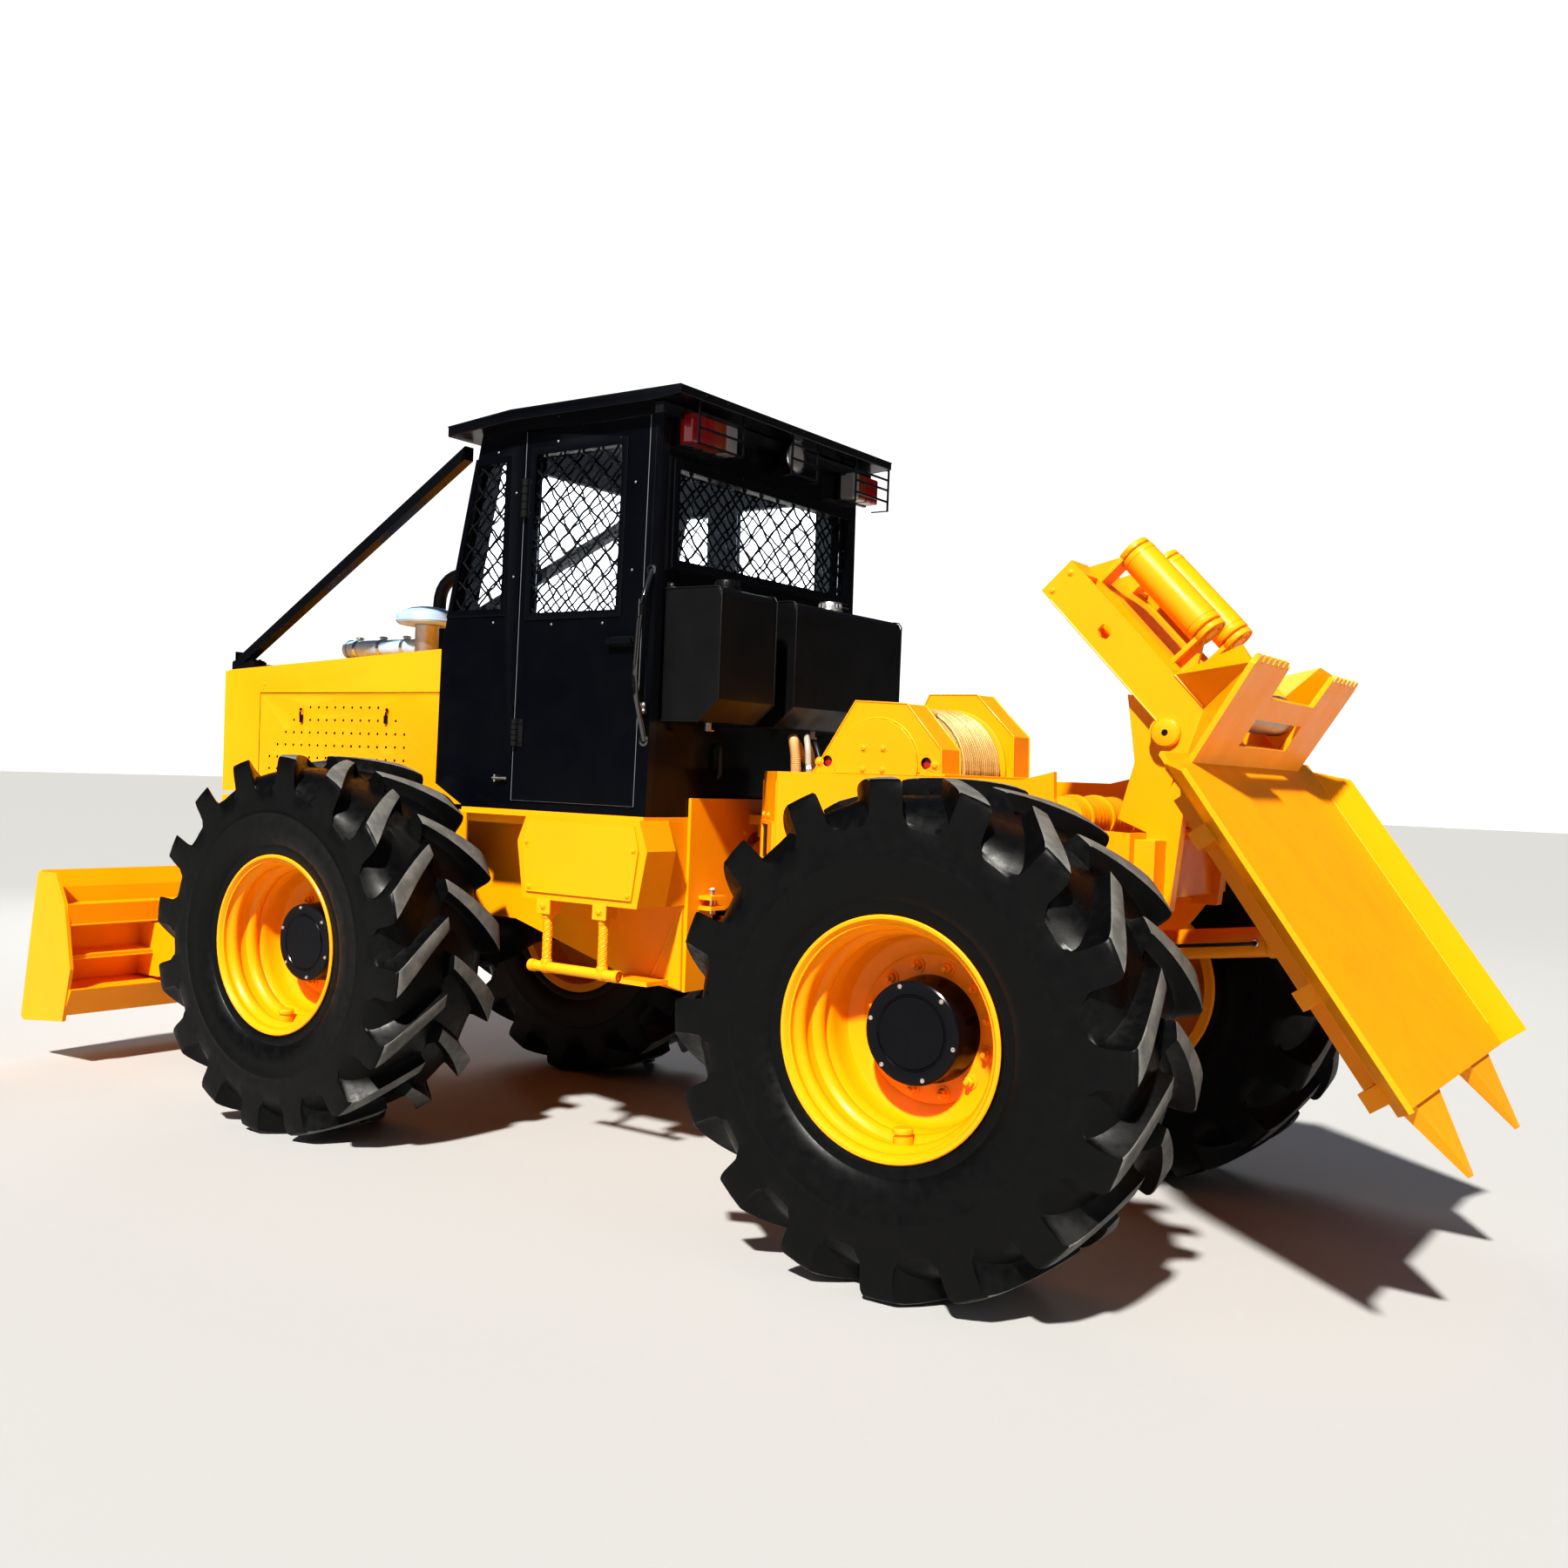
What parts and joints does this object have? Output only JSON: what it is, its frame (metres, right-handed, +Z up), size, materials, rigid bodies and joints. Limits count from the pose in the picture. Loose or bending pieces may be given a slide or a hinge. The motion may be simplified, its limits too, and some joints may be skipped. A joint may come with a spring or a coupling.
{
  "type": "cable log skidder",
  "caption": "Articulated forestry tractor with enclosed cab, front dozer blade, log winch, fairlead rollers and tilting loading plate.",
  "frame": {"origin": "middle of the machine at ground level, under the centre of its overall box", "axes": "+X forwards towards the blade, +Y to the machine's left, +Z up"},
  "size_m": [6.5658, 2.504, 3.022],
  "materials": {
    "yellow_paint": "gloss",
    "black_paint": "semi-gloss",
    "tyre": "matt",
    "bare_steel": "satin",
    "engine_paint": "satin",
    "seat_cover": "satin",
    "dark_plastic": "matt"
  },
  "bodies": {
    "front_chassis": {"front_frame": "yellow_paint", "front_axle": "black_paint", "engine": "engine_paint", "hood": "yellow_paint", "grille": "yellow_paint", "air_cleaner": "bare_steel", "exhaust": "black_paint", "brush_guard": "black_paint", "deck": "yellow_paint", "cab_left": "black_paint", "cab_right": "black_paint", "cab_floor": "black_paint", "cab_rear": "black_paint", "cab_front": "black_paint", "cab_roof": "black_paint", "seat": "seat_cover", "controls": "dark_plastic", "rear_lamps": "black_paint", "tank_left": "black_paint", "tank_right": "black_paint"},
    "rear_chassis": {"rear_frame": "yellow_paint", "rear_axle": "black_paint", "winch_housing": "yellow_paint", "arch": "yellow_paint", "cross_tube": "yellow_paint"},
    "wheel_front_left": {"tyre_front_left": "tyre", "rim_front_left": "yellow_paint"},
    "wheel_front_right": {"tyre_front_right": "tyre", "rim_front_right": "yellow_paint"},
    "wheel_rear_left": {"tyre_rear_left": "tyre", "rim_rear_left": "yellow_paint"},
    "wheel_rear_right": {"tyre_rear_right": "tyre", "rim_rear_right": "yellow_paint"},
    "door_left_leaf": {"door_left": "black_paint"},
    "door_right_leaf": {"door_right": "black_paint"},
    "blade_assembly": {"blade": "yellow_paint"},
    "blade_ram_left": {"blade_barrel_left": "yellow_paint"},
    "blade_ram_rod_left": {"blade_rod_left": "bare_steel"},
    "blade_ram_right": {"blade_barrel_right": "yellow_paint"},
    "blade_ram_rod_right": {"blade_rod_right": "bare_steel"},
    "steer_ram_left": {"steer_barrel_left": "yellow_paint"},
    "steer_ram_rod_left": {"steer_rod_left": "bare_steel"},
    "steer_ram_right": {"steer_barrel_right": "yellow_paint"},
    "steer_ram_rod_right": {"steer_rod_right": "bare_steel"},
    "plate_ram": {"plate_barrel": "yellow_paint"},
    "plate_ram_rod": {"plate_rod": "bare_steel"},
    "winch_rotor": {"winch_drum": "bare_steel"},
    "loader": {"head": "yellow_paint", "loading_plate": "yellow_paint"},
    "side_roller_left_rotor": {"side_roller_left": "yellow_paint"},
    "side_roller_right_rotor": {"side_roller_right": "yellow_paint"},
    "cross_roller_rotor": {"cross_roller": "bare_steel"}
  },
  "joints": [
    {"name": "articulation", "type": "hinge", "parent": "front_chassis", "child": "rear_chassis", "pos_m": [-0.54409, 0, 1.065], "axis": [0, 0, 1], "range_deg": [-38, 38]},
    {"name": "wheel_front_left_spin", "type": "hinge", "parent": "front_chassis", "child": "wheel_front_left", "pos_m": [1.12291, 0.962, 0.8], "axis": [0, 1, 0], "continuous": true},
    {"name": "wheel_front_right_spin", "type": "hinge", "parent": "front_chassis", "child": "wheel_front_right", "pos_m": [1.12291, -0.962, 0.8], "axis": [0, 1, 0], "continuous": true},
    {"name": "wheel_rear_left_spin", "type": "hinge", "parent": "rear_chassis", "child": "wheel_rear_left", "pos_m": [-1.79709, 0.962, 0.8], "axis": [0, 1, 0], "continuous": true},
    {"name": "wheel_rear_right_spin", "type": "hinge", "parent": "rear_chassis", "child": "wheel_rear_right", "pos_m": [-1.79709, -0.962, 0.8], "axis": [0, 1, 0], "continuous": true},
    {"name": "door_left_swing", "type": "hinge", "parent": "front_chassis", "child": "door_left_leaf", "pos_m": [0.25291, 0.73046, 2.193], "axis": [0, 0.018, -0.9998], "range_deg": [0, 80]},
    {"name": "door_right_swing", "type": "hinge", "parent": "front_chassis", "child": "door_right_leaf", "pos_m": [0.25291, -0.73046, 2.193], "axis": [0, 0.018, 0.9998], "range_deg": [0, 80]},
    {"name": "blade_lift", "type": "hinge", "parent": "front_chassis", "child": "blade_assembly", "pos_m": [1.86291, 0, 0.64], "axis": [0, -1, 0], "range_deg": [-7, 18]},
    {"name": "blade_ram_left_swing", "type": "hinge", "parent": "front_chassis", "child": "blade_ram_left", "pos_m": [2.35291, 0.55, 1.33], "axis": [0, 1, 0], "range_deg": [-4, 5]},
    {"name": "blade_ram_left_slide", "type": "slide", "parent": "blade_ram_left", "child": "blade_ram_rod_left", "axis": [0.1671, 0, -0.9859], "range_m": [-0.187, 0.075]},
    {"name": "blade_ram_right_swing", "type": "hinge", "parent": "front_chassis", "child": "blade_ram_right", "pos_m": [2.35291, -0.55, 1.33], "axis": [0, 1, 0], "range_deg": [-4, 5]},
    {"name": "blade_ram_right_slide", "type": "slide", "parent": "blade_ram_right", "child": "blade_ram_rod_right", "axis": [0.1671, 0, -0.9859], "range_m": [-0.187, 0.075]},
    {"name": "steer_ram_left_swing", "type": "hinge", "parent": "front_chassis", "child": "steer_ram_left", "pos_m": [0.00291, 0.3, 0.99], "axis": [0, 0, 1], "range_deg": [-8, 8]},
    {"name": "steer_ram_left_slide", "type": "slide", "parent": "steer_ram_left", "child": "steer_ram_rod_left", "axis": [-0.992, -0.1259, 0], "range_m": [-0.165, 0.165]},
    {"name": "steer_ram_right_swing", "type": "hinge", "parent": "front_chassis", "child": "steer_ram_right", "pos_m": [0.00291, -0.3, 0.99], "axis": [0, 0, 1], "range_deg": [-8, 8]},
    {"name": "steer_ram_right_slide", "type": "slide", "parent": "steer_ram_right", "child": "steer_ram_rod_right", "axis": [-0.992, 0.1259, 0], "range_m": [-0.165, 0.165]},
    {"name": "plate_ram_swing", "type": "hinge", "parent": "rear_chassis", "child": "plate_ram", "pos_m": [-2.02709, 0, 1.02], "axis": [0, 1, 0], "range_deg": [-3, 19]},
    {"name": "plate_ram_slide", "type": "slide", "parent": "plate_ram", "child": "plate_ram_rod", "axis": [-0.9919, 0, 0.127], "range_m": [-0.08, 0.408]},
    {"name": "winch_drum_turn", "type": "hinge", "parent": "rear_chassis", "child": "winch_rotor", "pos_m": [-1.25709, 0, 1.635], "axis": [0, 1, 0], "continuous": true},
    {"name": "loading_plate_tilt", "type": "hinge", "parent": "rear_chassis", "child": "loader", "pos_m": [-2.29709, 0, 1.775], "axis": [0, 1, 0], "range_deg": [-5, 35]},
    {"name": "side_roller_left_spin", "type": "hinge", "parent": "loader", "child": "side_roller_left_rotor", "pos_m": [-2.23169, 0.15, 2.26231], "axis": [0.6884, 0, 0.7254], "continuous": true},
    {"name": "side_roller_right_spin", "type": "hinge", "parent": "loader", "child": "side_roller_right_rotor", "pos_m": [-2.23169, -0.15, 2.26231], "axis": [0.6884, 0, 0.7254], "continuous": true},
    {"name": "cross_roller_spin", "type": "hinge", "parent": "loader", "child": "cross_roller_rotor", "pos_m": [-2.46915, 0, 1.86245], "axis": [0, 1, 0], "continuous": true}
  ],
  "couplings": [
    {"joint": "steer_ram_left_swing", "follows": "articulation", "ratio": 0.1248},
    {"joint": "steer_ram_right_swing", "follows": "articulation", "ratio": 0.1248},
    {"joint": "steer_ram_left_slide", "follows": "articulation", "m_per_rad": 0.2219},
    {"joint": "steer_ram_right_slide", "follows": "articulation", "m_per_rad": -0.2219},
    {"joint": "blade_ram_left_swing", "follows": "blade_lift", "ratio": 0.1478},
    {"joint": "blade_ram_right_swing", "follows": "blade_lift", "ratio": 0.1478},
    {"joint": "blade_ram_left_slide", "follows": "blade_lift", "m_per_rad": -0.5911},
    {"joint": "blade_ram_right_slide", "follows": "blade_lift", "m_per_rad": -0.5911},
    {"joint": "plate_ram_swing", "follows": "loading_plate_tilt", "ratio": 0.5135},
    {"joint": "plate_ram_slide", "follows": "loading_plate_tilt", "m_per_rad": 0.6644}
  ]
}
